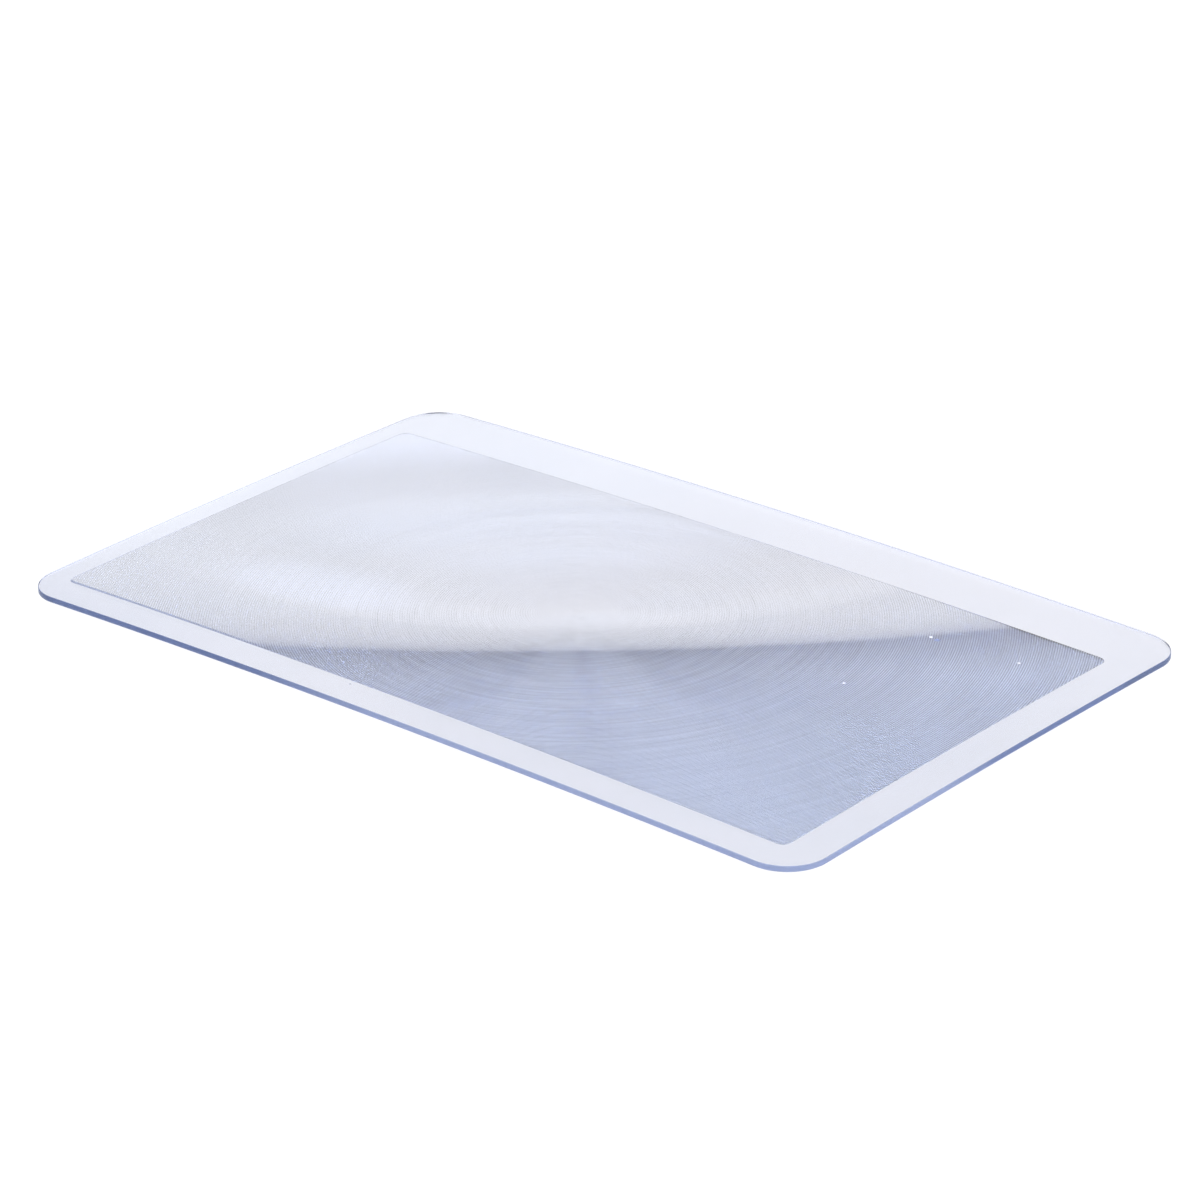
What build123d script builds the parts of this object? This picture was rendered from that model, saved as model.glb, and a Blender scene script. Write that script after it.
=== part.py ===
"""Card-sized Fresnel magnifier: one clear moulded sheet, cut out like a bank card.

Millimetres, +Z up. X runs along the long edges and Y along the short ones. The origin lies under
the middle of the card, level with the lowest corner of the underside. The sheet has sprung into a
shallow dome, so it rests on its corners. Its top face is smooth. The lens window is moulded in the
underside as concentric sawtooth grooves: each groove is one slice of a thick convex lens, with a
slanted facet that climbs away from the middle and an upright riser back down to the next one.
"""

from build123d import *

import os
from math import hypot, sqrt

# Card: the outline of a standard bank card, in thinner sheet.
card_length = 85.6
card_width = 53.98
card_thickness = 0.5
corner_radius = 4.0
dome_radius = 1450.0  # of the underside, along any line through the middle of the lens

# Lens window: what is left plain along each edge. The back border is the wide one, to hold.
border_left = 2.31
border_right = 3.74
border_front = 3.58
border_back = 6.67
window_corner_radius = 0.8
window_recess = 0.02  # groove tips above the plain border, so that they are not scratched

# Lens: the moulded grooves are too fine to draw one by one, so each groove here stands for
# several of them, at the depth that one moulded groove has there.
focal_length = 186.0
refractive_index = 1.54  # clear rigid vinyl
moulded_pitch = 0.21
moulded_grooves_each = 6

window_length = card_length - border_left - border_right
window_width = card_width - border_front - border_back
lens_x = (border_left - border_right) / 2
lens_y = (border_front - border_back) / 2
groove_pitch = moulded_pitch * moulded_grooves_each

# Farthest that the window and the card reach from the middle of the lens.
window_reach = hypot(window_length, window_width) / 2
card_reach = corner_radius + hypot(
    card_length / 2 - corner_radius + abs(lens_x),
    card_width / 2 - corner_radius + abs(lens_y),
)


def dome_drop(radius, sphere_radius):
    """How far a sphere has fallen below its top at a distance from its axis."""
    return sphere_radius - sqrt(sphere_radius**2 - radius**2)


# The lowest corner of the underside is at height 0.
underside_top = dome_drop(card_reach, dome_radius)
dome_centre = underside_top - dome_radius
poles_sideways = (90, 0, 0)  # keeps the spheres' poles and seam away from the card
clearance = card_thickness  # by which the space below the grooves runs past the card


def underside_height(radius):
    """Height of the plain underside at a distance from the middle of the lens."""
    return underside_top - dome_drop(radius, dome_radius)


def moulded_depth(radius):
    """Depth of a moulded groove, from the facet slope that sends light to the focus."""
    ray = radius / hypot(radius, focal_length)
    facet_slope = ray / (sqrt(refractive_index**2 - ray**2) - 1)
    return moulded_pitch * facet_slope


def groove_profile():
    """Section of the space below the grooves, from the middle of the lens outwards."""
    outline = [(0, underside_height(0) + window_recess)]
    radius = groove_pitch
    while radius < window_reach + groove_pitch:
        outer = radius + groove_pitch
        tip = underside_height(radius) + window_recess
        valley = underside_height(outer) + window_recess + moulded_depth(radius + groove_pitch / 2)
        outline += [(radius, tip), (outer, valley)]
        radius = outer
    return outline + [(radius, -clearance), (0, -clearance)]


lens_axis = Axis((lens_x, lens_y, 0), (0, 0, 1))
lens_section = Plane(origin=(lens_x, lens_y, 0), x_dir=(1, 0, 0), z_dir=(0, -1, 0))
window_plane = Plane(origin=(lens_x, lens_y, -clearance))
plate_height = underside_top + 2 * card_thickness

# Space below the grooves, cut to the window.
with BuildPart() as groove_space:
    with BuildSketch(lens_section):
        with BuildLine():
            Polyline(*groove_profile(), close=True)
        make_face()
    revolve(axis=lens_axis)
    with BuildSketch(window_plane):
        RectangleRounded(window_length, window_width, window_corner_radius)
    extrude(amount=clearance + plate_height, mode=Mode.INTERSECT)

# The card: a plate of its outline between two concentric spheres, less the space below the grooves.
with BuildPart() as fresnel_lens:
    with BuildSketch():
        RectangleRounded(card_length, card_width, corner_radius)
    extrude(amount=plate_height)
    with Locations((lens_x, lens_y, dome_centre)):
        Sphere(dome_radius + card_thickness, rotation=poles_sideways, mode=Mode.INTERSECT)
        Sphere(dome_radius, rotation=poles_sideways, mode=Mode.SUBTRACT)
    add(groove_space.part, mode=Mode.SUBTRACT)

fresnel_lens.part.label = "fresnel_lens"

os.makedirs("parts", exist_ok=True)
export_step(fresnel_lens.part, "parts/fresnel_lens.step")
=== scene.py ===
"""Looks of a card-sized Fresnel magnifier: one clear, faintly blue sheet with a grooved lens window.

The sheet is modelled as light meets it: a smooth shallow dome, fine sawtooth rings under it that
bend or trap the light, and a rolled and die-cut rim. Lengths in the classes are millimetres, and the
meshes are written in metres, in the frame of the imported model.
"""

import logging
import math
from collections.abc import Iterable, Sequence
from dataclasses import dataclass, field
from enum import Enum

import bpy
import numpy as np
from mathutils import Matrix, Vector

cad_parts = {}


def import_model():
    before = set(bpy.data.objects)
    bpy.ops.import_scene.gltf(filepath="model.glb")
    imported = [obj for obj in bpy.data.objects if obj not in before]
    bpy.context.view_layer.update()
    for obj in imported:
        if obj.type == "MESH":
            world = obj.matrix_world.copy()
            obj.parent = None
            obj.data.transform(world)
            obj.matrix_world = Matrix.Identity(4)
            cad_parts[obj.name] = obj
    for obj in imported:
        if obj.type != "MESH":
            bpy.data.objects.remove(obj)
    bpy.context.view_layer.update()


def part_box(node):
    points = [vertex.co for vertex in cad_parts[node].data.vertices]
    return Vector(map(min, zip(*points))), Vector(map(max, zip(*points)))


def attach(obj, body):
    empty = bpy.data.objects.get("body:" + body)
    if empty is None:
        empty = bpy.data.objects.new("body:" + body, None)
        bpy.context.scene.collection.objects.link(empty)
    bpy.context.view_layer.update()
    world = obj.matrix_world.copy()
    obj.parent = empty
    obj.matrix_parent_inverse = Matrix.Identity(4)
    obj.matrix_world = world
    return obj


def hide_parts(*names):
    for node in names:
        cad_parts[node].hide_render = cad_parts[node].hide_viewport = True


log = logging.getLogger("magnifier")

METRES = 0.001  # metres in a millimetre
NODE = "fresnel_lens"
IMAGE_SIZE = 1200  # pixels each way, the frame that the lens and the camera's place are worked out for
SENSOR_WIDTH = 36.0
CLOUD_ROUGHNESS = 0.55  # how strongly the finer layers of a cloudy pattern show


# --------------------------------------------------------------------------- shader maths


class Graph:
    """The nodes of one material or world, all made by one method."""

    def __init__(self, tree: bpy.types.NodeTree) -> None:
        """Starts from an empty tree.

        Args:
            tree: the node tree to fill.
        """
        self.tree = tree
        tree.nodes.clear()

    def node(
        self,
        kind: str,
        settings: dict[str, object] | None = None,
        sockets: dict[str | int, object] | None = None,
    ) -> bpy.types.Node:
        """Adds one node.

        Args:
            kind: Blender's name for the node type.
            settings: the node's own settings, set first.
            sockets: a value or a link for each input, by name or place.

        Returns:
            The new node.
        """
        made = self.tree.nodes.new(kind)
        for name, value in (settings or {}).items():
            setattr(made, name, value)
        for name, value in (sockets or {}).items():
            socket = made.inputs[name]
            if isinstance(value, (Value, Place, Tint)):
                self.tree.links.new(value.socket, socket)
            elif isinstance(value, bpy.types.NodeSocket):
                self.tree.links.new(value, socket)
            else:
                socket.default_value = value
        return made

    def value(self, node: bpy.types.Node, output: str | int = 0) -> "Value":
        """Wraps one of a node's outputs for arithmetic."""
        return Value(self, node.outputs[output])

    def vector(self, node: bpy.types.Node) -> "Place":
        """Wraps a node's first output for arithmetic on vectors."""
        return Place(self, node.outputs[0])

    def place(self, output: str) -> "Place":
        """One of the coordinates that Blender gives to every point."""
        return Place(self, self.node("ShaderNodeTexCoord").outputs[output])

    def tint(self, colour: Sequence[float]) -> "Tint":
        """A plain colour to start from.

        Args:
            colour: its red, green and blue.

        Returns:
            The colour, ready to be mixed.
        """
        node = self.node("ShaderNodeRGB")
        node.outputs[0].default_value = (*colour, 1.0)
        return Tint(self, node.outputs[0])

    def mixed(self, share: "Value", first: bpy.types.Node, second: bpy.types.Node) -> bpy.types.Node:
        """Mixes two shaders.

        Args:
            share: how much of the second there is.
            first: the shader where the share is 0.
            second: the shader where it is 1.

        Returns:
            The mixed shader.
        """
        sockets = {0: share, 1: first.outputs[0], 2: second.outputs[0]}
        return self.node("ShaderNodeMixShader", sockets=sockets)


@dataclass(frozen=True)
class Value:
    """A number that varies over a surface: arithmetic on it adds Math nodes."""

    graph: Graph
    socket: bpy.types.NodeSocket

    def _math(self, operation: str, *terms: "Value | float") -> "Value":
        """Adds a Math node with these terms in order."""
        sockets = dict(enumerate(terms))
        return self.graph.value(self.graph.node("ShaderNodeMath", {"operation": operation}, sockets))

    def __add__(self, other: "Value | float") -> "Value":
        """self + other."""
        return self._math("ADD", self, other)

    def __radd__(self, other: float) -> "Value":
        """other + self."""
        return self._math("ADD", other, self)

    def __sub__(self, other: "Value | float") -> "Value":
        """self - other."""
        return self._math("SUBTRACT", self, other)

    def __rsub__(self, other: float) -> "Value":
        """other - self."""
        return self._math("SUBTRACT", other, self)

    def __mul__(self, other: "Value | float") -> "Value":
        """self * other."""
        return self._math("MULTIPLY", self, other)

    def __rmul__(self, other: float) -> "Value":
        """other * self."""
        return self._math("MULTIPLY", other, self)

    def __truediv__(self, other: "Value | float") -> "Value":
        """self / other."""
        return self._math("DIVIDE", self, other)

    def __pow__(self, power: float) -> "Value":
        """self to a power."""
        return self._math("POWER", self, power)

    def __abs__(self) -> "Value":
        """The size of self without its sign."""
        return self._math("ABSOLUTE", self)

    def at_least(self, other: "Value | float") -> "Value":
        """The larger of self and other."""
        return self._math("MAXIMUM", self, other)

    def at_most(self, other: "Value | float") -> "Value":
        """The smaller of self and other."""
        return self._math("MINIMUM", self, other)

    def to_and_fro(self, half_period: float) -> "Value":
        """A zigzag that climbs from 0 to 1 and falls back over two half periods."""
        return self._math("PINGPONG", self, half_period) / half_period

    def ease(self, low: float, high: float) -> "Value":
        """A smooth step.

        Args:
            low: where it leaves 0.
            high: where it reaches 1.

        Returns:
            0 below low, 1 above high and a smooth rise between them.
        """
        settings = {"interpolation_type": "SMOOTHSTEP"}
        sockets = {"Value": self, "From Min": low, "From Max": high}
        return self.graph.value(self.graph.node("ShaderNodeMapRange", settings, sockets))


@dataclass(frozen=True)
class Place:
    """A vector that varies over a surface: arithmetic on it adds Vector Math nodes."""

    graph: Graph
    socket: bpy.types.NodeSocket

    def _math(self, operation: str, *terms: "Place | Sequence[float]") -> bpy.types.Node:
        """Adds a Vector Math node with these terms in order."""
        return self.graph.node("ShaderNodeVectorMath", {"operation": operation}, dict(enumerate(terms)))

    def __sub__(self, other: "Place | Sequence[float]") -> "Place":
        """self - other."""
        return self.graph.vector(self._math("SUBTRACT", self, other))

    def __rsub__(self, other: Sequence[float]) -> "Place":
        """other - self."""
        return self.graph.vector(self._math("SUBTRACT", other, self))

    def __mul__(self, other: "Place | Sequence[float]") -> "Place":
        """self * other, each part by its own."""
        return self.graph.vector(self._math("MULTIPLY", self, other))

    def __rmul__(self, other: Sequence[float]) -> "Place":
        """other * self, each part by its own."""
        return self.graph.vector(self._math("MULTIPLY", other, self))

    def dot(self, other: "Place | Sequence[float]") -> Value:
        """How far self reaches along other."""
        return self.graph.value(self._math("DOT_PRODUCT", self, other), "Value")

    def size(self) -> Value:
        """The length of the vector."""
        return self.graph.value(self._math("LENGTH", self), "Value")

    def spun(self, degrees: float) -> "Place":
        """The vector turned about the upright axis.

        Args:
            degrees: how far, counter-clockwise from above.

        Returns:
            The turned vector.
        """
        settings = {"rotation_type": "Z_AXIS"}
        sockets = {"Vector": self, "Angle": math.radians(degrees)}
        return self.graph.vector(self.graph.node("ShaderNodeVectorRotate", settings, sockets))

    def parts(self) -> tuple[Value, Value, Value]:
        """The three numbers in the vector."""
        node = self.graph.node("ShaderNodeSeparateXYZ", sockets={"Vector": self})
        return tuple(self.graph.value(node, axis) for axis in "XYZ")


@dataclass(frozen=True)
class Tint:
    """A colour that varies over a surface."""

    graph: Graph
    socket: bpy.types.NodeSocket

    def toward(self, other: Sequence[float], share: Value) -> "Tint":
        """Part of the way from self to another colour.

        Args:
            other: the other colour's red, green and blue.
            share: 0 for self and 1 for the other colour.

        Returns:
            The mixed colour.
        """
        settings = {"data_type": "RGBA", "blend_type": "MIX"}
        node = self.graph.node("ShaderNodeMix", settings, {0: share, 6: self, 7: (*other, 1.0)})
        return Tint(self.graph, node.outputs[2])


# --------------------------------------------------------------------------- sizes


@dataclass(frozen=True)
class Outline:
    """A rectangle with rounded corners, seen from the middle of the lens."""

    half_length: float
    half_width: float
    corner_radius: float
    centre: tuple[float, float] = (0.0, 0.0)

    def inset(self, amount: float) -> "Outline":
        """The same outline moved inwards.

        Args:
            amount: how far.

        Returns:
            The smaller outline, about the same middle.
        """
        return Outline(
            self.half_length - amount,
            self.half_width - amount,
            max(self.corner_radius - amount, 0.0),
            self.centre,
        )

    def reach(self, angles: np.ndarray) -> np.ndarray:
        """Distance from the middle of the lens to the outline.

        Args:
            angles: directions, in radians.

        Returns:
            One distance for each direction.
        """
        run, rise = np.cos(angles), np.sin(angles)
        with np.errstate(divide="ignore"):
            to_side = (self.half_length + np.sign(run) * self.centre[0]) / np.abs(run)
            to_end = (self.half_width + np.sign(rise) * self.centre[1]) / np.abs(rise)
        distance = np.minimum(to_side, to_end)
        straight = (self.half_length - self.corner_radius, self.half_width - self.corner_radius)
        corner_x = np.sign(run) * straight[0] + self.centre[0]
        corner_y = np.sign(rise) * straight[1] + self.centre[1]
        past_x = (distance * run - corner_x) * np.sign(run) > 0
        past_y = (distance * rise - corner_y) * np.sign(rise) > 0
        along = corner_x * run + corner_y * rise
        across = corner_x**2 + corner_y**2 - along**2
        on_arc = along + np.sqrt(np.maximum(self.corner_radius**2 - across, 0.0))
        return np.where(past_x & past_y, on_arc, distance)


@dataclass(frozen=True)
class Card:
    """The sheet: a bank card's outline, in thinner stock, sprung into a shallow dome."""

    length: float
    width: float
    thickness: float = 0.5
    corner_radius: float = 4.0
    dome_radius: float = 1450.0
    top_roll: float = 0.05
    bottom_roll: float = 0.035

    def outline(self, lens_centre: tuple[float, float]) -> Outline:
        """The card's outline about the middle of the lens."""
        centre = (-lens_centre[0], -lens_centre[1])
        return Outline(self.length / 2, self.width / 2, self.corner_radius, centre)


@dataclass(frozen=True)
class Window:
    """The grooved part of the underside, by the plain border that is left along each edge."""

    left: float = 2.31
    right: float = 3.74
    front: float = 3.58
    back: float = 6.67
    corner_radius: float = 0.8
    recess: float = 0.02

    def centre(self) -> tuple[float, float]:
        """The middle of the window, which is the middle of the lens."""
        return (self.left - self.right) / 2, (self.front - self.back) / 2

    def outline(self, card: Card) -> Outline:
        """The window's outline about its own middle.

        Args:
            card: the card that it lies in.

        Returns:
            The outline.
        """
        half_length = (card.length - self.left - self.right) / 2
        half_width = (card.width - self.front - self.back) / 2
        return Outline(half_length, half_width, self.corner_radius)


@dataclass(frozen=True)
class Grooves:
    """The moulded rings: slices of a thick convex lens, each a slanted facet and an upright riser."""

    pitch: float = 0.21
    focal_length: float = 186.0
    refractive_index: float = 1.54
    unevenness: float = 0.002  # share by which the tool cut each groove too deep or too shallow
    seed: int = 7

    def depth(self, radius: float) -> float:
        """Depth of the groove at a radius, from the slope that sends light to the focus."""
        ray = radius / math.hypot(radius, self.focal_length)
        return self.pitch * ray / (math.sqrt(self.refractive_index**2 - ray**2) - 1)


# --------------------------------------------------------------------------- mesh of the sheet


@dataclass
class MeshParts:
    """Corners and faces as they are made."""

    points: list[tuple[float, float, float]] = field(default_factory=list)
    faces: list[tuple[int, ...]] = field(default_factory=list)

    def add(self, x: float, y: float, z: float) -> int:
        """Adds a corner and gives its number."""
        self.points.append((x, y, z))
        return len(self.points) - 1

    def face(self, *corners: int) -> None:
        """Adds a face, leaving out corners that repeat the one before.

        Args:
            corners: their numbers, once round.
        """
        kept = [c for i, c in enumerate(corners) if c != corners[i - 1]]
        if len(kept) > 2:
            self.faces.append(tuple(kept))

    def strip(self, inner: Sequence[int], outer: Sequence[int]) -> None:
        """Joins two closed loops of as many corners with quads that face down.

        Args:
            inner: corner numbers of the loop nearer the middle.
            outer: the same for the loop farther out.
        """
        for i in range(len(inner)):
            j = (i + 1) % len(inner)
            self.face(inner[j], outer[j], outer[i], inner[i])

    def lace(self, inner: Sequence[tuple[float, int]], outer: Sequence[tuple[float, int]]) -> None:
        """Joins two chains that run the same way round with triangles that face down.

        Args:
            inner: angle and corner number along the chain nearer the middle.
            outer: the same along the chain farther out.
        """
        i = j = 0
        while i < len(inner) - 1 or j < len(outer) - 1:
            step_out = i == len(inner) - 1 or (
                j < len(outer) - 1 and outer[j + 1][0] <= inner[i + 1][0]
            )
            if step_out:
                self.face(outer[j + 1][1], outer[j][1], inner[i][1])
                j += 1
            else:
                self.face(inner[i + 1][1], outer[j][1], inner[i][1])
                i += 1


@dataclass
class Ring:
    """The edge between two grooves, in the first quarter of the window."""

    radius: float
    angles: list[float]
    tips: list[int]
    valleys: list[int]
    starts_on_rim: bool
    ends_on_rim: bool


@dataclass(frozen=True)
class RimPoint:
    """One place on the window's outline, with its corners from the highest down."""

    angle: float
    corners: tuple[int, ...]


@dataclass
class LensSheet:
    """Builds and dresses the whole magnifier as one closed sheet."""

    card: Card
    window: Window
    grooves: Grooves
    segment: float = 0.45  # length of a ring's straight runs
    fewest_segments: int = 12  # in a quarter of a ring
    rim_step: float = 0.5  # longest straight run along the window's outline
    corner_steps: int = 10
    border_loops: tuple[float, ...] = (0.25, 0.5, 0.75)
    face_loops: tuple[float, ...] = (0.96, 0.85, 0.65, 0.45, 0.25, 0.1)
    weld_decimals: int = 7  # of a millimetre, to which corners that meet are the same
    sharp_angle: float = 15.0  # degrees, from which an edge isn't shaded smooth

    def __post_init__(self) -> None:
        """Works out the outlines and heights that everything else is placed by."""
        self.lens_centre = self.window.centre()
        self.card_outline = self.card.outline(self.lens_centre)
        self.window_outline = self.window.outline(self.card)
        far_corner = math.hypot(
            self.card.length / 2 - self.card.corner_radius + abs(self.lens_centre[0]),
            self.card.width / 2 - self.card.corner_radius + abs(self.lens_centre[1]),
        )
        self.underside_top = self._drop(far_corner + self.card.corner_radius, self.card.dome_radius)
        self.parts = MeshParts()

    @staticmethod
    def _drop(radius: float, sphere_radius: float) -> float:
        """How far a sphere has fallen below its top."""
        return sphere_radius - math.sqrt(sphere_radius**2 - radius**2)

    def underside(self, radius: float) -> float:
        """Height of the underside at a distance from the middle of the lens."""
        return self.underside_top - self._drop(radius, self.card.dome_radius)

    def face(self, radius: float) -> float:
        """Height of the smooth top face at a distance from the middle of the lens."""
        sphere_radius = self.card.dome_radius + self.card.thickness
        return self.underside_top + self.card.thickness - self._drop(radius, sphere_radius)

    def _corner(self, angle: float, radius: float, height: float) -> int:
        """Adds a corner given about the middle of the lens."""
        return self.parts.add(radius * math.cos(angle), radius * math.sin(angle), height)

    # ---- the grooved window, one quarter first

    def _span(self, radius: float) -> tuple[float, float] | None:
        """Where a ring lies inside the first quarter of the window.

        Args:
            radius: the ring's radius.

        Returns:
            The lowest and highest angle, or None past the window's corners.
        """
        outline = self.window_outline
        knee_x = outline.half_length - outline.corner_radius
        knee_y = outline.half_width - outline.corner_radius
        knee = math.hypot(knee_x, knee_y)
        if radius >= knee + outline.corner_radius:
            return None
        cosine = (radius**2 + knee**2 - outline.corner_radius**2) / (2 * radius * knee)
        turn = math.acos(min(cosine, 1.0))
        to_knee = math.atan2(knee_y, knee_x)
        low, high = 0.0, math.pi / 2
        if radius > outline.half_length:
            straight = math.sqrt(radius**2 - outline.half_length**2) <= knee_y
            low = math.acos(outline.half_length / radius) if straight else to_knee - turn
        if radius > outline.half_width:
            straight = math.sqrt(radius**2 - outline.half_width**2) <= knee_x
            high = math.asin(outline.half_width / radius) if straight else to_knee + turn
        return low, high

    def _rings(self) -> list[Ring]:
        """Adds the corners of every ring in the first quarter.

        Returns:
            The rings, from the middle outwards.
        """
        rng = np.random.default_rng(self.grooves.seed)
        rings: list[Ring] = []
        pitch = self.grooves.pitch
        while (span := self._span(radius := pitch * (len(rings) + 1))) is not None:
            low, high = span
            quarter = max(self.fewest_segments, math.ceil(math.pi / 2 * radius / self.segment))
            pieces = max(1, round((high - low) / (math.pi / 2) * quarter))
            angles = [float(a) for a in np.linspace(low, high, pieces + 1)]
            tip = self.underside(radius) + self.window.recess
            uneven = 1 + self.grooves.unevenness * rng.standard_normal()
            valley = tip + self.grooves.depth(radius - pitch / 2) * uneven
            rings.append(
                Ring(
                    radius,
                    angles,
                    [self._corner(a, radius, tip) for a in angles],
                    [self._corner(a, radius, valley) for a in angles],
                    low > 0.0,
                    high < math.pi / 2,
                )
            )
        return rings

    def _facet_height(self, rings: Sequence[Ring], radius: float) -> float:
        """Height of the groove facet at any radius beyond the first ring.

        Args:
            rings: every ring, from the middle outwards.
            radius: distance from the middle of the lens.

        Returns:
            The height.
        """
        inner = rings[int(radius / self.grooves.pitch) - 1]
        tip = self.parts.points[inner.tips[0]][2]
        place = rings.index(inner) + 1
        if place < len(rings):
            valley = self.parts.points[rings[place].valleys[0]][2]
        else:
            outer = inner.radius + self.grooves.pitch
            valley = self.underside(outer) + self.window.recess + self.grooves.depth(inner.radius)
        return tip + (valley - tip) * (radius - inner.radius) / self.grooves.pitch

    def _rim(self, rings: Sequence[Ring]) -> list[RimPoint]:
        """Places the window's outline in the first quarter: ring ends, rounded corner and even steps.

        Args:
            rings: every ring, from the middle outwards.

        Returns:
            The outline's points, from +X to +Y.
        """
        ends = {}
        for ring in rings:
            if ring.starts_on_rim:
                ends[ring.angles[0]] = (ring.valleys[0], ring.tips[0])
            if ring.ends_on_rim:
                ends[ring.angles[-1]] = (ring.valleys[-1], ring.tips[-1])
        outline = self.window_outline
        extra = {0.0, math.pi / 2}
        for turn in np.linspace(0, math.pi / 2, self.corner_steps + 1):
            x = outline.half_length - outline.corner_radius * (1 - math.cos(turn))
            y = outline.half_width - outline.corner_radius * (1 - math.sin(turn))
            extra.add(math.atan2(y, x))
        known = sorted(extra | set(ends))
        for before, after in zip(known, known[1:]):
            ends_of_run = [r * np.exp(1j * a) for a, r in self._reaches((before, after))]
            steps = math.ceil(abs(ends_of_run[1] - ends_of_run[0]) / self.rim_step)
            for share in range(1, steps):
                place = ends_of_run[0] + (ends_of_run[1] - ends_of_run[0]) * share / steps
                extra.add(math.atan2(place.imag, place.real))
        rim = [RimPoint(angle, corners) for angle, corners in ends.items()]
        for angle, radius in self._reaches(sorted(extra - set(ends))):
            rim.append(RimPoint(angle, (self._corner(angle, radius, self._facet_height(rings, radius)),)))
        return sorted(rim, key=lambda point: point.angle)

    def _reaches(self, angles: Iterable[float]) -> list[tuple[float, float]]:
        """Each angle with the window's reach there."""
        angles = list(angles)
        return list(zip(angles, (float(r) for r in self.window_outline.reach(np.array(angles)))))

    def _quarter(self) -> list[RimPoint]:
        """Adds the facets and risers of the first quarter.

        Returns:
            The quarter's rim, from +X to +Y.
        """
        rings = self._rings()
        rim = self._rim(rings)
        middle = self.parts.add(0.0, 0.0, self.underside(0.0) + self.window.recess)
        for before, after in zip(rings[0].valleys, rings[0].valleys[1:]):
            self.parts.face(after, before, middle)
        for place, ring in enumerate(rings):
            for k in range(len(ring.angles) - 1):
                self.parts.face(ring.valleys[k + 1], ring.tips[k + 1], ring.tips[k], ring.valleys[k])
            inner = list(zip(ring.angles, ring.tips))
            outer = list(inner[:1]) if ring.starts_on_rim else []
            outer += self._plain_rim(rim, ring.radius, ring.radius + self.grooves.pitch)
            if place + 1 < len(rings):
                outer += zip(rings[place + 1].angles, rings[place + 1].valleys)
            outer += inner[-1:] if ring.ends_on_rim else []
            self.parts.lace(inner, sorted(outer))
        return rim

    def _plain_rim(self, rim: Sequence[RimPoint], low: float, high: float) -> list[tuple[float, int]]:
        """Rim corners between two ring radii that are not the end of a ring.

        Args:
            rim: the quarter's rim.
            low: the inner radius.
            high: the outer radius.

        Returns:
            Angle and corner number of each.
        """
        found = []
        for point in rim:
            x, y, _ = self.parts.points[point.corners[0]]
            if len(point.corners) == 1 and low < math.hypot(x, y) < high:
                found.append((point.angle, point.corners[0]))
        return found

    def _all_quarters(self) -> list[RimPoint]:
        """Mirrors the first quarter into the other three and welds them along the axes.

        Returns:
            The whole rim, once round from angle 0.
        """
        rim = self._quarter()
        quarter = np.array(self.parts.points)
        faces = self.parts.faces
        signs = ((1, 1), (-1, 1), (-1, -1), (1, -1))
        every = np.concatenate([quarter * (sx, sy, 1) for sx, sy in signs])
        rounded = np.round(every, self.weld_decimals) + 0.0
        _, first, weld = np.unique(rounded, axis=0, return_index=True, return_inverse=True)
        weld = weld.reshape(-1)
        self.parts = MeshParts([tuple(p) for p in every[first]])
        whole: list[RimPoint] = []
        for number, (sx, sy) in enumerate(signs):
            shift = number * len(quarter)
            turned = sx * sy < 0
            for face in faces:
                corners = [int(weld[c + shift]) for c in face]
                self.parts.face(*(reversed(corners) if turned else corners))
            for point in reversed(rim) if turned else rim:
                corners = tuple(int(weld[c + shift]) for c in point.corners)
                x, y, _ = self.parts.points[corners[0]]
                angle = math.atan2(y, x) % (2 * math.pi)
                if not whole or corners != whole[-1].corners:
                    whole.append(RimPoint(angle, corners))
        return whole[:-1] if whole[-1].corners == whole[0].corners else whole

    # ---- the plain border, the rim of the card and the top face

    def _window_wall(self, rim: Sequence[RimPoint]) -> list[int]:
        """Adds the small step down from the grooves to the border.

        Args:
            rim: the window's whole rim.

        Returns:
            Corner numbers of the step's lower loop.
        """
        edge = []
        for point in rim:
            x, y, _ = self.parts.points[point.corners[0]]
            edge.append(self.parts.add(x, y, self.underside(math.hypot(x, y))))
        for here in range(len(rim)):
            after = (here + 1) % len(rim)
            start, end = rim[here].corners, rim[after].corners
            radii = [math.hypot(*self.parts.points[c[0]][:2]) for c in (start, end)]
            outwards = radii[0] < radii[1]
            start = start[-1:] if outwards else start
            end = end if outwards else end[-1:]
            self.parts.face(*end, edge[after], edge[here], *start[::-1])
        return edge

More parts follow.
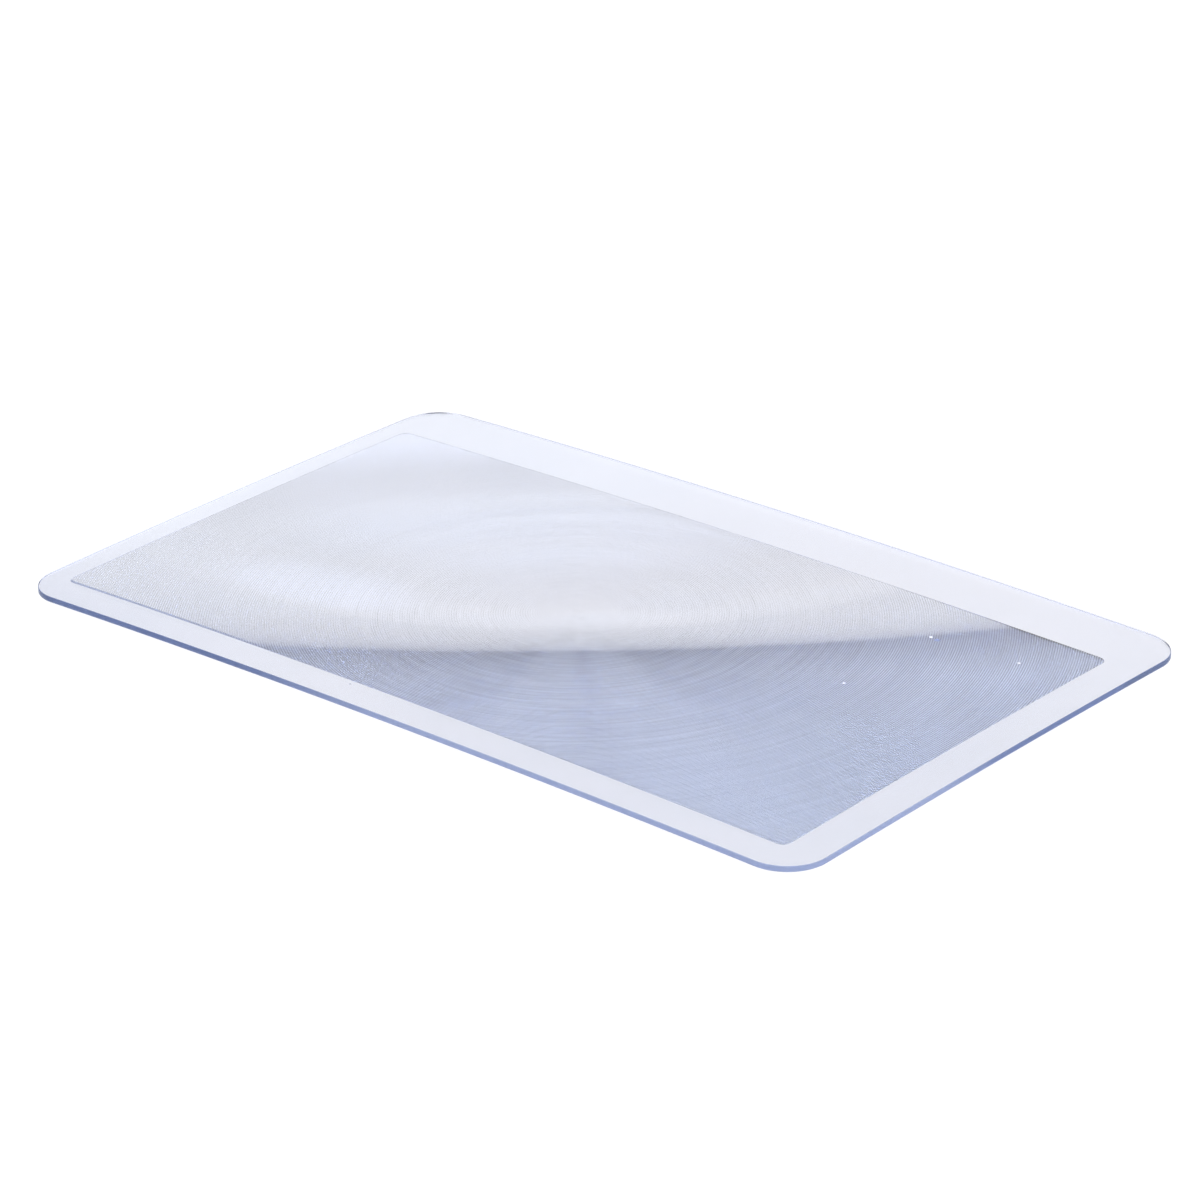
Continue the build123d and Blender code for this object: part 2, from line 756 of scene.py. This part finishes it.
    def _border(self, rim: Sequence[RimPoint], edge: Sequence[int]) -> None:
        """Adds the border, the rolled and cut rim and the top face, outwards from the window.

        Args:
            rim: the window's whole rim.
            edge: corner numbers of the loop that the border starts from.
        """
        angles = np.array([point.angle for point in rim])
        card, under, over = self.card_outline, self.card.bottom_roll, self.card.top_roll
        slack = 1 - math.sqrt(0.5)  # share of a roll's radius by which its middle stands in
        window_reach = np.array([math.hypot(*self.parts.points[c][:2]) for c in edge])
        flat_reach = card.inset(under).reach(angles)
        border = flat_reach - window_reach
        loops = [(window_reach + border * share, self.underside, 0.0) for share in self.border_loops]
        loops += [
            (flat_reach, self.underside, 0.0),
            (card.inset(under * slack).reach(angles), self.underside, under * slack),
            (card.reach(angles), self.underside, under),
            (card.reach(angles), self.face, -over),
            (card.inset(over * slack).reach(angles), self.face, -over * slack),
        ]
        face_reach = card.inset(over).reach(angles)
        loops += [(face_reach * share, self.face, 0.0) for share in (1.0, *self.face_loops)]
        last = list(edge)
        for reaches, height, lift in loops:
            loop = [self._corner(a, r, height(r) + lift) for a, r in zip(angles, reaches)]
            self.parts.strip(last, loop)
            last = loop
        middle = self.parts.add(0.0, 0.0, self.face(0.0))
        for here, after in zip(last, last[1:] + last[:1]):
            self.parts.face(here, after, middle)

    def build(self) -> bpy.types.Object:
        """Makes the closed sheet.

        Returns:
            The piece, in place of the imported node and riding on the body.
        """
        rim = self._all_quarters()
        top = self._window_wall(rim)
        self._border(rim, top)
        shift = np.array((*self.lens_centre, 0.0))
        points = (np.array(self.parts.points) + shift) * METRES
        mesh = bpy.data.meshes.new("magnifier_sheet")
        mesh.from_pydata(points.tolist(), [], self.parts.faces)
        mesh.validate()
        mesh.shade_smooth()
        mesh.set_sharp_from_angle(angle=math.radians(self.sharp_angle))
        piece = bpy.data.objects.new("magnifier_sheet", mesh)
        bpy.context.scene.collection.objects.link(piece)
        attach(piece, "root")
        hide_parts(NODE)
        return piece


# --------------------------------------------------------------------------- finish


class Zone(Enum):
    """Parts of the sheet's surface that the maker leaves in different states; the cut edge also carries
    painted light, and the foot of the window's front wall a line of painted shade.
    """

    BORDER = "plain border and the whole top"
    GROOVES = "grooved window"
    WALL_FOOT = "foot of the wall along the window's front side"
    CUT_EDGE = "die-cut edge"


def noise(graph: Graph, place: Place, scale: float, detail: float = 2.0) -> Value:
    """Cloudy variation about 0.5.

    Args:
        graph: the material's nodes.
        place: the point that the variation is read at.
        scale: cycles to one unit of the point.
        detail: how many finer layers lie over the clouds.

    Returns:
        The variation, between 0 and 1.
    """
    sockets = {"Vector": place, "Scale": scale, "Detail": detail, "Roughness": CLOUD_ROUGHNESS}
    return graph.value(graph.node("ShaderNodeTexNoise", sockets=sockets), "Fac")


def height_in(sheet: LensSheet, place: Place) -> Value:
    """Height above the plain underside.

    Args:
        sheet: the sheet, for its dome.
        place: the point on the surface, in millimetres.

    Returns:
        The height, in millimetres.
    """
    from_middle = place - (*sheet.lens_centre, 0.0)
    z = from_middle.parts()[2]
    fall = (from_middle.dot(from_middle) - z * z) / (2 * sheet.card.dome_radius)
    return z + fall - sheet.underside_top


def beyond(x: Value, y: Value, outline: Outline) -> Value:
    """Distance outside an outline.

    Args:
        x: place along the outline's length, from its middle.
        y: place along its width.
        outline: the rectangle with rounded corners.

    Returns:
        The distance, less than nothing inside.
    """
    out_x = abs(x) - (outline.half_length - outline.corner_radius)
    out_y = abs(y) - (outline.half_width - outline.corner_radius)
    inside = out_x.at_least(out_y).at_most(0.0)
    out_x, out_y = out_x.at_least(0.0), out_y.at_least(0.0)
    return (out_x * out_x + out_y * out_y) ** 0.5 + inside - outline.corner_radius


@dataclass(frozen=True)
class Zones:
    """Where each zone of the sheet lies, in millimetres unless told otherwise."""

    low: tuple[float, float] = (0.3, 0.7)  # shares of the thickness over which the underside's zones end
    top: tuple[float, float] = (0.4, 0.6)  # shares of the thickness over which the top begins
    window_blur: float = 0.02  # half the width over which the window's outline fades
    cut_start: tuple[float, float] = (-0.06, -0.045)  # beyond the card's outline
    far_left: tuple[float, float] = (0.9, 0.2)  # inside the left edge: from the plain part to the far rim
    far_back: tuple[float, float] = (0.79, 0.19)  # the same inside the back edge
    foot_inset: float = 0.1  # how far inside the window's outline the line of painted shade runs
    foot_widths: tuple[float, float] = (0.08, 0.2)  # half the line's width: its full part and all of it
    front_reach: float = 0.5  # how far the shade line turns up at the window's front corners
    front_fade: float = 0.3

    def masks(self, sheet: LensSheet, place: Place) -> dict[Zone, Value]:
        """Masks of the zones that differ from the border.

        Args:
            sheet: the sheet, for its outlines.
            place: the point on the surface, in millimetres.

        Returns:
            1 inside each zone and 0 outside it.
        """
        x, y, _ = place.parts()
        card, window = sheet.card, sheet.window_outline
        about_x, about_y = sheet.lens_centre
        past_window = beyond(x - about_x, y - about_y, window)
        low = 1 - self._rise(sheet, place, self.low)
        grooves = (1 - past_window.ease(-self.window_blur, self.window_blur)) * low
        foot = (1 - abs(past_window + self.foot_inset).ease(*self.foot_widths)) * low
        front = (about_y - window.half_width + self.front_reach - y).ease(0.0, self.front_fade)
        left = (0.0 - x).ease(*(card.length / 2 - inside for inside in self.far_left))
        back = y.ease(*(card.width / 2 - inside for inside in self.far_back))
        # the die-cut edge, frosted and carrying the painted blue light, is left off the far left and back
        # rims
        cut = beyond(x, y, card.outline((0.0, 0.0))).ease(*self.cut_start) * (1 - left.at_least(back))
        return {Zone.GROOVES: grooves, Zone.WALL_FOOT: foot * front, Zone.CUT_EDGE: cut}

    def upper(self, sheet: LensSheet, place: Place) -> Value:
        """1 on the top of the sheet and 0 on its underside."""
        return self._rise(sheet, place, self.top)

    @staticmethod
    def _rise(sheet: LensSheet, place: Place, shares: tuple[float, float]) -> Value:
        """Rise from 0 to 1 between two shares of the sheet's thickness."""
        return height_in(sheet, place).ease(*(sheet.card.thickness * share for share in shares))


@dataclass(frozen=True)
class GrooveHaze:
    """Light scattered by the grooves' rounded tips and risers, with painted light on top: more scatter on
    the side facing the viewer and in two wedges of painted highlight.
    """

    share: float = 0.35
    colour: tuple[float, float, float] = (0.885, 0.928, 0.995)
    depth_start: float = 0.5  # scatter at the middle, where the grooves are shallow
    depth_gain: float = 0.03  # for each millimetre of radius
    depth_most: float = 1.5
    facet: float = 0.45  # scatter in the middle of a facet
    riser: float = 1.1  # what comes on top of it at the riser
    streak_stretch: tuple[float, float] = (3.0, 2.0)  # cycles for a millimetre outwards and a radian round
    streak_depth: float = 1.3
    streak_loss: float = 0.9  # how much of that depth the outer streaks lose
    streak_radii: tuple[float, float] = (14.0, 30.0)  # between which they lose it
    painted_side_azimuth: float = -49.6  # degrees from +X: the side facing the viewer, where the scatter is raised as painted light
    painted_side_reach: tuple[float, float] = (2.0, 13.0)  # from the middle to where that painted light starts and is full
    unpainted_share: float = 0.4  # share of the scatter that is left away from that side, without the painted light
    highlight_wedges: tuple[float, ...] = (-60.0, -33.0)  # degrees from +X: the middles of two wedges of painted highlight
    highlight_spread: float = 14.0
    highlight_gain: float = 0.3

    def amount(self, sheet: LensSheet, graph: Graph, place: Place) -> Value:
        """Share of light that the grooves scatter: most where they are deep and at each riser, raised as
        painted light on the side facing the viewer and in two wedges.

        Args:
            sheet: the sheet, for the middle and the pitch of its grooves.
            graph: the material's nodes.
            place: the point on the surface, in millimetres.

        Returns:
            The share.
        """
        from_middle = (place - (*sheet.lens_centre, 0.0)) * (1.0, 1.0, 0.0)
        radius = from_middle.size().at_least(1.0)
        near_riser = 1 - radius.to_and_fro(sheet.grooves.pitch / 2)
        depth = (self.depth_start + self.depth_gain * radius).at_most(self.depth_most)
        # painted light: more scatter on the half of the window that faces the viewer
        viewer_half = from_middle.dot(self._way(self.painted_side_azimuth)).ease(*self.painted_side_reach)
        amount = self.share * depth * self._streaks(graph, from_middle, radius)
        amount = amount * (self.facet + self.riser * near_riser)
        amount = amount * (self.unpainted_share + (1 - self.unpainted_share) * viewer_half)
        # two wedges of painted highlight, where the scatter is raised
        start = math.cos(math.radians(self.highlight_spread))
        for azimuth in self.highlight_wedges:
            highlight_wedge = (from_middle.dot(self._way(azimuth)) / radius).ease(start, 1.0)
            amount = amount * (1 + self.highlight_gain * highlight_wedge)
        return amount

    def _streaks(self, graph: Graph, from_middle: Place, radius: Value) -> Value:
        """Soft arcs that follow the grooves.

        Args:
            graph: the material's nodes.
            from_middle: the point, from the middle of the lens.
            radius: its distance from there.

        Returns:
            A factor about 1.
        """
        x, y, _ = from_middle.parts()
        outwards, round_lens = self.streak_stretch
        sockets = {0: radius * outwards, 1: x / radius * round_lens, 2: y / radius * round_lens}
        rolled_up = graph.vector(graph.node("ShaderNodeCombineXYZ", sockets=sockets))
        strength = self.streak_depth - self.streak_loss * radius.ease(*self.streak_radii)
        return 1 + strength * (noise(graph, rolled_up, 1.0) - 0.5)

    @staticmethod
    def _way(azimuth: float) -> tuple[float, float, float]:
        """The level direction at an angle from +X, in degrees."""
        return math.cos(math.radians(azimuth)), math.sin(math.radians(azimuth)), 0.0


@dataclass(frozen=True)
class CutEdge:
    """Painted light on the frosted cut edge: deep blue for light gathered the long way through the sheet,
    pale round the front corner, and a painted highlight along its foot from the table's light.
    """

    deep: tuple[float, float, float] = (0.085, 0.125, 0.245)
    pale: tuple[float, float, float] = (0.26, 0.305, 0.42)
    frost: float = 0.8  # share of the light that the frosting scatters
    roughness: float = 0.45  # of the frosting
    fade_way: tuple[float, float, float] = (-1.0, 2.1, 0.0)  # in which pale turns to deep
    fade: tuple[float, float] = (36.0, 62.0)  # along that way, from the front corner
    lowest: float = 0.14  # height to which the painted highlight, standing in for light from the table, reaches
    lowest_gain: float = 0.7
    mark_stretch: tuple[float, float, float] = (1.0, 1.0, 0.15)  # upright marks of the die
    mark_scale: float = 2.2
    mark_gain: float = 0.5

    def colour(self, sheet: LensSheet, graph: Graph, place: Place) -> Tint:
        """Painted light along the cut edge, given as the colour of its frosting.

        Args:
            sheet: the sheet, for its front corner and its underside.
            graph: the material's nodes.
            place: the point on the surface, in millimetres.

        Returns:
            The colour.
        """
        corner = (sheet.card.length / 2, -sheet.card.width / 2, 0.0)
        from_corner = (place - corner).dot(self.fade_way)
        lowest = 1 - height_in(sheet, place).ease(0.0, self.lowest)
        marks = noise(graph, place * self.mark_stretch, self.mark_scale) - 0.5
        # painted light: pale near the front corner and along the foot, deep blue farther along
        pale = 1 - from_corner.ease(*self.fade) + marks * self.mark_gain + lowest * self.lowest_gain
        return graph.tint(self.deep).toward(self.pale, pale.at_least(0.0).at_most(1.0))


@dataclass(frozen=True)
class MarkedSpot:
    """A small spot on the top of the sheet: a speck, a pit drawn partly as its painted glint, or painted
    shade beside a pit.
    """

    x: float
    y: float
    radius: float
    colour: tuple[float, float, float]
    core: float = 0.4  # share of its radius that is full
    strength: float = 0.8

    def spot(self, place: Place, upper: Value) -> Value:
        """Where it shows.

        Args:
            place: the point on the surface, in millimetres.
            upper: 1 on the top of the sheet.

        Returns:
            1 in its core and 0 outside it.
        """
        off = ((place - (self.x, self.y, 0.0)) * (1.0, 1.0, 0.0)).size()
        return (1 - off.ease(self.radius * self.core, self.radius)) * upper


@dataclass(frozen=True)
class ClearVinyl:
    """Clear plastic sheet with the faint blue that keeps it from looking yellow."""

    refractive_index: float = 1.54
    absorption: tuple[float, float, float] = (196.0, 148.0, 30.0)  # per metre
    roughness: tuple[tuple[Zone, float], ...] = (
        (Zone.BORDER, 0.03),
        (Zone.GROOVES, 0.035),
        (Zone.WALL_FOOT, 0.12),
        (Zone.CUT_EDGE, 0.28),
    )
    tint: tuple[float, float, float] = (0.985, 0.99, 1.0)
    cloud_tint: tuple[float, float, float] = (0.965, 0.975, 0.99)
    cloud_scale: float = 0.09  # cycles to the millimetre, as every scale here
    cloud_range: tuple[float, float] = (0.35, 0.75)
    # painted shade along the foot of the window's front wall
    foot_shade_colour: tuple[float, float, float] = (0.18, 0.24, 0.44)
    polish_least: float = 0.7  # share of the border's roughness where the mould was polished best
    polish_spread: float = 0.6
    polish_scale: float = 0.4
    wave_scale: float = 0.25
    wave_height: float = 0.004
    scratch_turn: float = 24.0  # degrees
    scratch_stretch: tuple[float, float, float] = (0.6, 14.0, 1.0)
    scratch_range: tuple[float, float] = (0.6, 0.9)
    scratch_height: float = 0.0004
    zones: Zones = Zones()
    haze: GrooveHaze = GrooveHaze()
    edge: CutEdge = CutEdge()
    # white frosted dots for the pits, partly standing in for their glint; the dark blue dot beside the
    # first pit is painted shade; the grey dots are specks
    pits_specks_and_painted_light: tuple[MarkedSpot, ...] = (
        MarkedSpot(25.54, 13.74, 0.26, (1.0, 1.0, 1.0)),
        MarkedSpot(26.27, 13.59, 0.32, (0.22, 0.27, 0.45)),
        MarkedSpot(34.07, 14.54, 0.26, (1.0, 1.0, 1.0)),
        MarkedSpot(25.47, 1.78, 0.24, (0.95, 0.95, 1.0)),
        MarkedSpot(-7.04, -23.65, 0.14, (0.40, 0.42, 0.50)),
        MarkedSpot(-6.0, -24.28, 0.12, (0.40, 0.42, 0.50)),
    )

    def material(self, sheet: LensSheet) -> bpy.types.Material:
        """Makes the material.

        Args:
            sheet: the sheet that it goes on, for its outlines.

        Returns:
            One material for the whole closed sheet.
        """
        made = bpy.data.materials.new("clear_vinyl")
        made.use_nodes = True
        graph = Graph(made.node_tree)
        place = graph.place("Object") * (1 / METRES, 1 / METRES, 1 / METRES)
        masks = self.zones.masks(sheet, place)
        window = self._window(sheet, graph, place, masks)
        # the cut edge's frosting is coloured with painted light
        colour, frost = self.edge.colour(sheet, graph, place), masks[Zone.CUT_EDGE] * self.edge.frost
        upper = self.zones.upper(sheet, place)
        # pits with their painted glint, painted shade beside one of them, and specks
        for marked_spot in self.pits_specks_and_painted_light:
            spot = marked_spot.spot(place, upper)
            colour = colour.toward(marked_spot.colour, spot)
            frost = frost.at_least(spot * marked_spot.strength)
        sockets = {"Base Color": colour, "Roughness": self.edge.roughness}
        frosted = graph.node("ShaderNodeBsdfPrincipled", sockets=sockets)
        surface = graph.mixed(frost, window, frosted)
        sockets = {"Surface": surface.outputs[0], "Volume": self._volume(graph).outputs[0]}
        graph.node("ShaderNodeOutputMaterial", sockets=sockets)
        return made

    def _window(
        self, sheet: LensSheet, graph: Graph, place: Place, masks: dict[Zone, Value]
    ) -> bpy.types.Node:
        """The clear plastic, with haze where it is grooved.

        Args:
            sheet: the sheet, for its grooves.
            graph: the material's nodes.
            place: the point on the surface, in millimetres.
            masks: where the zones are.

        Returns:
            The shader.
        """
        sockets = {
            "IOR": self.refractive_index,
            "Transmission Weight": 1.0,
            "Base Color": self._base_colour(masks, graph, place),
            "Roughness": self._roughness(masks, graph, place),
            "Normal": self._relief(graph, place),
        }
        clear = graph.node("ShaderNodeBsdfPrincipled", sockets=sockets)
        hazy = graph.node("ShaderNodeBsdfTranslucent", sockets={"Color": (*self.haze.colour, 1.0)})
        return graph.mixed(masks[Zone.GROOVES] * self.haze.amount(sheet, graph, place), clear, hazy)

    def _volume(self, graph: Graph) -> bpy.types.Node:
        """Absorption in the plastic.

        Args:
            graph: the material's nodes.

        Returns:
            The volume shader.
        """
        strongest = max(self.absorption)
        kept = [1 - rate / strongest for rate in self.absorption]
        sockets = {"Color": (*kept, 1.0), "Density": strongest}
        return graph.node("ShaderNodeVolumeAbsorption", sockets=sockets)

    def _base_colour(self, masks: dict[Zone, Value], graph: Graph, place: Place) -> Tint:
        """Near white, with faint clouds left by the moulding and a line of painted shade at the foot of
        the window's front wall.

        Args:
            masks: where the zones are.
            graph: the material's nodes.
            place: the point on the surface, in millimetres.

        Returns:
            The colour.
        """
        cloud = noise(graph, place, self.cloud_scale).ease(*self.cloud_range)
        clear = graph.tint(self.tint).toward(self.cloud_tint, cloud)
        # the line of painted shade at the foot of the window's front wall
        return clear.toward(self.foot_shade_colour, masks[Zone.WALL_FOOT])

    def _roughness(self, masks: dict[Zone, Value], graph: Graph, place: Place) -> Value:
        """Polished border, slightly duller grooves and a frosted cut edge.

        Args:
            masks: where the zones are.
            graph: the material's nodes.
            place: the point on the surface, in millimetres.

        Returns:
            The roughness.
        """
        levels = dict(self.roughness)
        polish = noise(graph, place, self.polish_scale)
        rough = levels[Zone.BORDER] * (self.polish_least + self.polish_spread * polish)
        for zone, mask in masks.items():
            rough = rough + (levels[zone] - rough) * mask
        return rough

    def _relief(self, graph: Graph, place: Place) -> Place:
        """Moulding waves on the border and fine scratches from a wallet over everything.

        Args:
            graph: the material's nodes.
            place: the point on the surface, in millimetres.

        Returns:
            The normal.
        """
        waves = noise(graph, place, self.wave_scale, 1.0)
        scratches = noise(graph, place.spun(self.scratch_turn) * self.scratch_stretch, 1.0)
        height = waves * self.wave_height + scratches.ease(*self.scratch_range) * self.scratch_height
        sockets = {"Height": height * METRES, "Strength": 1.0, "Distance": 1.0}
        return graph.vector(graph.node("ShaderNodeBump", sockets=sockets))


# --------------------------------------------------------------------------- the room


@dataclass(frozen=True)
class Patch:
    """A soft-edged part of the room: a lamp, a wall or something dark."""

    azimuth: float  # degrees from +X
    elevation: float
    spread: float  # degrees from its middle to where it ends
    colour: tuple[float, float, float]

    def direction(self) -> tuple[float, float, float]:
        """The way towards the patch.

        Returns:
            A direction of length 1.
        """
        azimuth, elevation = math.radians(self.azimuth), math.radians(self.elevation)
        flat = math.cos(elevation)
        return flat * math.cos(azimuth), flat * math.sin(azimuth), math.sin(elevation)


@dataclass
class Room:
    """The light that falls on the sheet, by where it comes from; elevations and azimuths in degrees."""

    near_side: tuple[float, float, float] = (0.50, 0.57, 0.85)
    low: tuple[float, float, float] = (0.92, 0.88, 0.86)
    backdrop: tuple[float, float, float] = (0.80, 0.71, 0.64)
    backdrop_top: tuple[float, float, float] = (0.38, 0.31, 0.30)
    overhead: tuple[float, float, float] = (2.15, 2.2, 2.5)
    low_ends: tuple[float, float] = (20.0, 24.0)  # elevations between which it turns into the backdrop
    backdrop_ends: tuple[float, float] = (24.0, 29.0)  # and the backdrop into its top
    overhead_starts: tuple[float, float] = (40.0, 60.0)
    viewer_azimuth: float = -49.6
    near_side_starts: tuple[float, float] = (-0.5, 0.3)  # how far a direction leans towards the viewer
    patches: tuple[Patch, ...] = (
        Patch(134.5, 19.2, 6.5, (0.98, 0.96, 0.95)),
        Patch(143.0, 27.0, 8.0, (0.30, 0.30, 0.38)),
        Patch(30.0, 24.0, 36.0, (1.45, 1.52, 1.90)),
        Patch(97.0, 24.0, 16.0, (1.60, 1.70, 2.10)),
        Patch(66.0, 24.0, 13.0, (0.45, 0.50, 0.62)),
        Patch(-50.0, 24.0, 20.0, (0.12, 0.13, 0.18)),
        Patch(-50.0, 52.0, 16.0, (0.40, 0.42, 0.50)),
        Patch(-76.0, 24.0, 12.0, (3.0, 3.0, 3.0)),
        Patch(-76.0, 52.0, 23.0, (3.6, 3.6, 3.6)),
        Patch(-20.0, 24.0, 14.0, (2.6, 2.6, 2.6)),
        Patch(-20.0, 52.0, 23.0, (3.6, 3.6, 3.6)),
    )

    def _light(self, graph: Graph) -> Tint:
        """The colour of the light from every direction.

        Args:
            graph: the world's nodes.

        Returns:
            The colour.
        """
        way = graph.place("Generated")
        azimuth = math.radians(self.viewer_azimuth)
        towards_viewer = way.dot((math.cos(azimuth), math.sin(azimuth), 0.0))
        up = way.parts()[2]
        light = graph.tint(self.low).toward(self.backdrop, self._between(up, self.low_ends))
        light = light.toward(self.backdrop_top, self._between(up, self.backdrop_ends))
        light = light.toward(self.near_side, towards_viewer.ease(*self.near_side_starts))
        light = light.toward(self.overhead, self._between(up, self.overhead_starts))
        for patch in self.patches:
            inside = way.dot(patch.direction()).ease(math.cos(math.radians(patch.spread)), 1.0)
            light = light.toward(patch.colour, inside)
        return light

    @staticmethod
    def _between(up: Value, elevations: tuple[float, float]) -> Value:
        """0 below the first elevation and 1 above the second, for the sine of a direction's own."""
        return up.ease(*(math.sin(math.radians(elevation)) for elevation in elevations))

    def build(self) -> bpy.types.World:
        """Lights the scene.

        Returns:
            The world, plain white to the viewer and shaded to everything else.
        """
        world = bpy.data.worlds.new("room")
        world.use_nodes = True
        world.cycles.sampling_method = "NONE"  # broad soft light needs none, and it saves time
        bpy.context.scene.world = world
        graph = Graph(world.node_tree)
        light = self._light(graph)
        seen = graph.node("ShaderNodeBackground", sockets={"Color": (1.0, 1.0, 1.0, 1.0)})
        lit = graph.node("ShaderNodeBackground", sockets={"Color": light})
        from_camera = graph.value(graph.node("ShaderNodeLightPath"), "Is Camera Ray")
        shown = graph.mixed(from_camera, lit, seen)
        graph.node("ShaderNodeOutputWorld", sockets={"Surface": shown.outputs[0]})
        return world


@dataclass(frozen=True)
class Table:
    """The plain white table under the sheet."""

    reach: float = 1500.0
    white: tuple[float, float, float] = (1.07, 1.07, 1.08)
    matt: tuple[float, float, float] = (0.9, 0.9, 0.9)  # what takes the shadow
    glow_share: float = 0.85

    def build(self) -> bpy.types.Object:
        """Lays the table.

        Returns:
            The table, which is not part of the object.
        """
        half = self.reach / 2 * METRES
        corners = [(-half, -half, 0.0), (half, -half, 0.0), (half, half, 0.0), (-half, half, 0.0)]
        mesh = bpy.data.meshes.new("table")
        mesh.from_pydata(corners, [], [(0, 1, 2, 3)])
        table = bpy.data.objects.new("table", mesh)
        bpy.context.scene.collection.objects.link(table)
        mesh.materials.append(self._material())
        return table

    def _material(self) -> bpy.types.Material:
        """White that looks the same straight on, in a reflection and through the sheet.

        Returns:
            The material, which takes a faint shadow.
        """
        made = bpy.data.materials.new("table_white")
        made.use_nodes = True
        graph = Graph(made.node_tree)
        ray = graph.node("ShaderNodeLightPath")
        seen = graph.value(ray, "Is Camera Ray")
        for kind in ("Is Glossy Ray", "Is Transmission Ray"):
            seen = seen.at_least(graph.value(ray, kind))
        matt = graph.node("ShaderNodeBsdfDiffuse", sockets={"Color": (*self.matt, 1.0)})
        white = graph.node("ShaderNodeEmission", sockets={"Color": (*self.white, 1.0)})
        surface = graph.mixed(seen * self.glow_share, matt, white)
        graph.node("ShaderNodeOutputMaterial", sockets={"Surface": surface.outputs[0]})
        return made


@dataclass(frozen=True)
class Viewpoint:
    """The camera, placed by the point it looks at and its direction from there."""

    focal_pixels: float = 4755.46
    azimuth: float = 40.38
    elevation: float = 24.356
    roll: float = -0.505
    target: tuple[float, float, float] = (-2.534, 3.667, 0.0)
    distance: float = 411.37
    nearest: float = 10.0  # what is closer than this isn't drawn

    def build(self) -> bpy.types.Object:
        """Sets up the camera.

        Returns:
            The camera, in place.
        """
        turn, rise, tip = (math.radians(a) for a in (self.azimuth, self.elevation, self.roll))
        flat = math.cos(rise)
        back = Vector((math.sin(turn) * flat, -math.cos(turn) * flat, math.sin(rise)))
        right = Vector((math.cos(turn), math.sin(turn), 0.0))
        up = back.cross(right)
        across = right * math.cos(tip) + up * math.sin(tip)
        upright = up * math.cos(tip) - right * math.sin(tip)
        camera = bpy.data.cameras.new("viewpoint")
        camera.sensor_width = SENSOR_WIDTH
        camera.lens = self.focal_pixels * SENSOR_WIDTH / IMAGE_SIZE
        camera.clip_start = self.nearest * METRES
        placed = bpy.data.objects.new("viewpoint", camera)
        turned = Matrix((across, upright, back)).transposed().to_4x4()
        spot = (Vector(self.target) + back * self.distance) * METRES
        placed.matrix_world = Matrix.Translation(spot) @ turned
        bpy.context.scene.collection.objects.link(placed)
        bpy.context.scene.camera = placed
        return placed


# --------------------------------------------------------------------------- the whole scene


def limit_bounces() -> None:
    """Keeps only as many bounces as light needs to get through the sheet and off the table."""
    cycles = bpy.context.scene.cycles
    cycles.max_bounces = 12
    cycles.transmission_bounces = 11
    cycles.glossy_bounces = 9
    cycles.diffuse_bounces = 3


def main() -> None:
    """Builds the sheet, then the table, the light and the camera."""
    logging.basicConfig(level=logging.INFO, format="%(name)s: %(message)s")
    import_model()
    low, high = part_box(NODE)
    card = Card(length=(high.x - low.x) / METRES, width=(high.y - low.y) / METRES)
    sheet = LensSheet(card, Window(), Grooves())
    piece = sheet.build()
    piece.data.materials.append(ClearVinyl().material(sheet))
    log.info("%s: %d corners, %d faces", piece.name, len(piece.data.vertices), len(piece.data.polygons))
    log.info("%s: laid, not part of the object", Table().build().name)
    log.info("%s: lit", Room().build().name)
    log.info("%s: set up", Viewpoint().build().name)
    bpy.context.scene.view_settings.view_transform = "Standard"
    limit_bounces()
    bpy.context.view_layer.update()


if __name__ == "__main__":
    main()
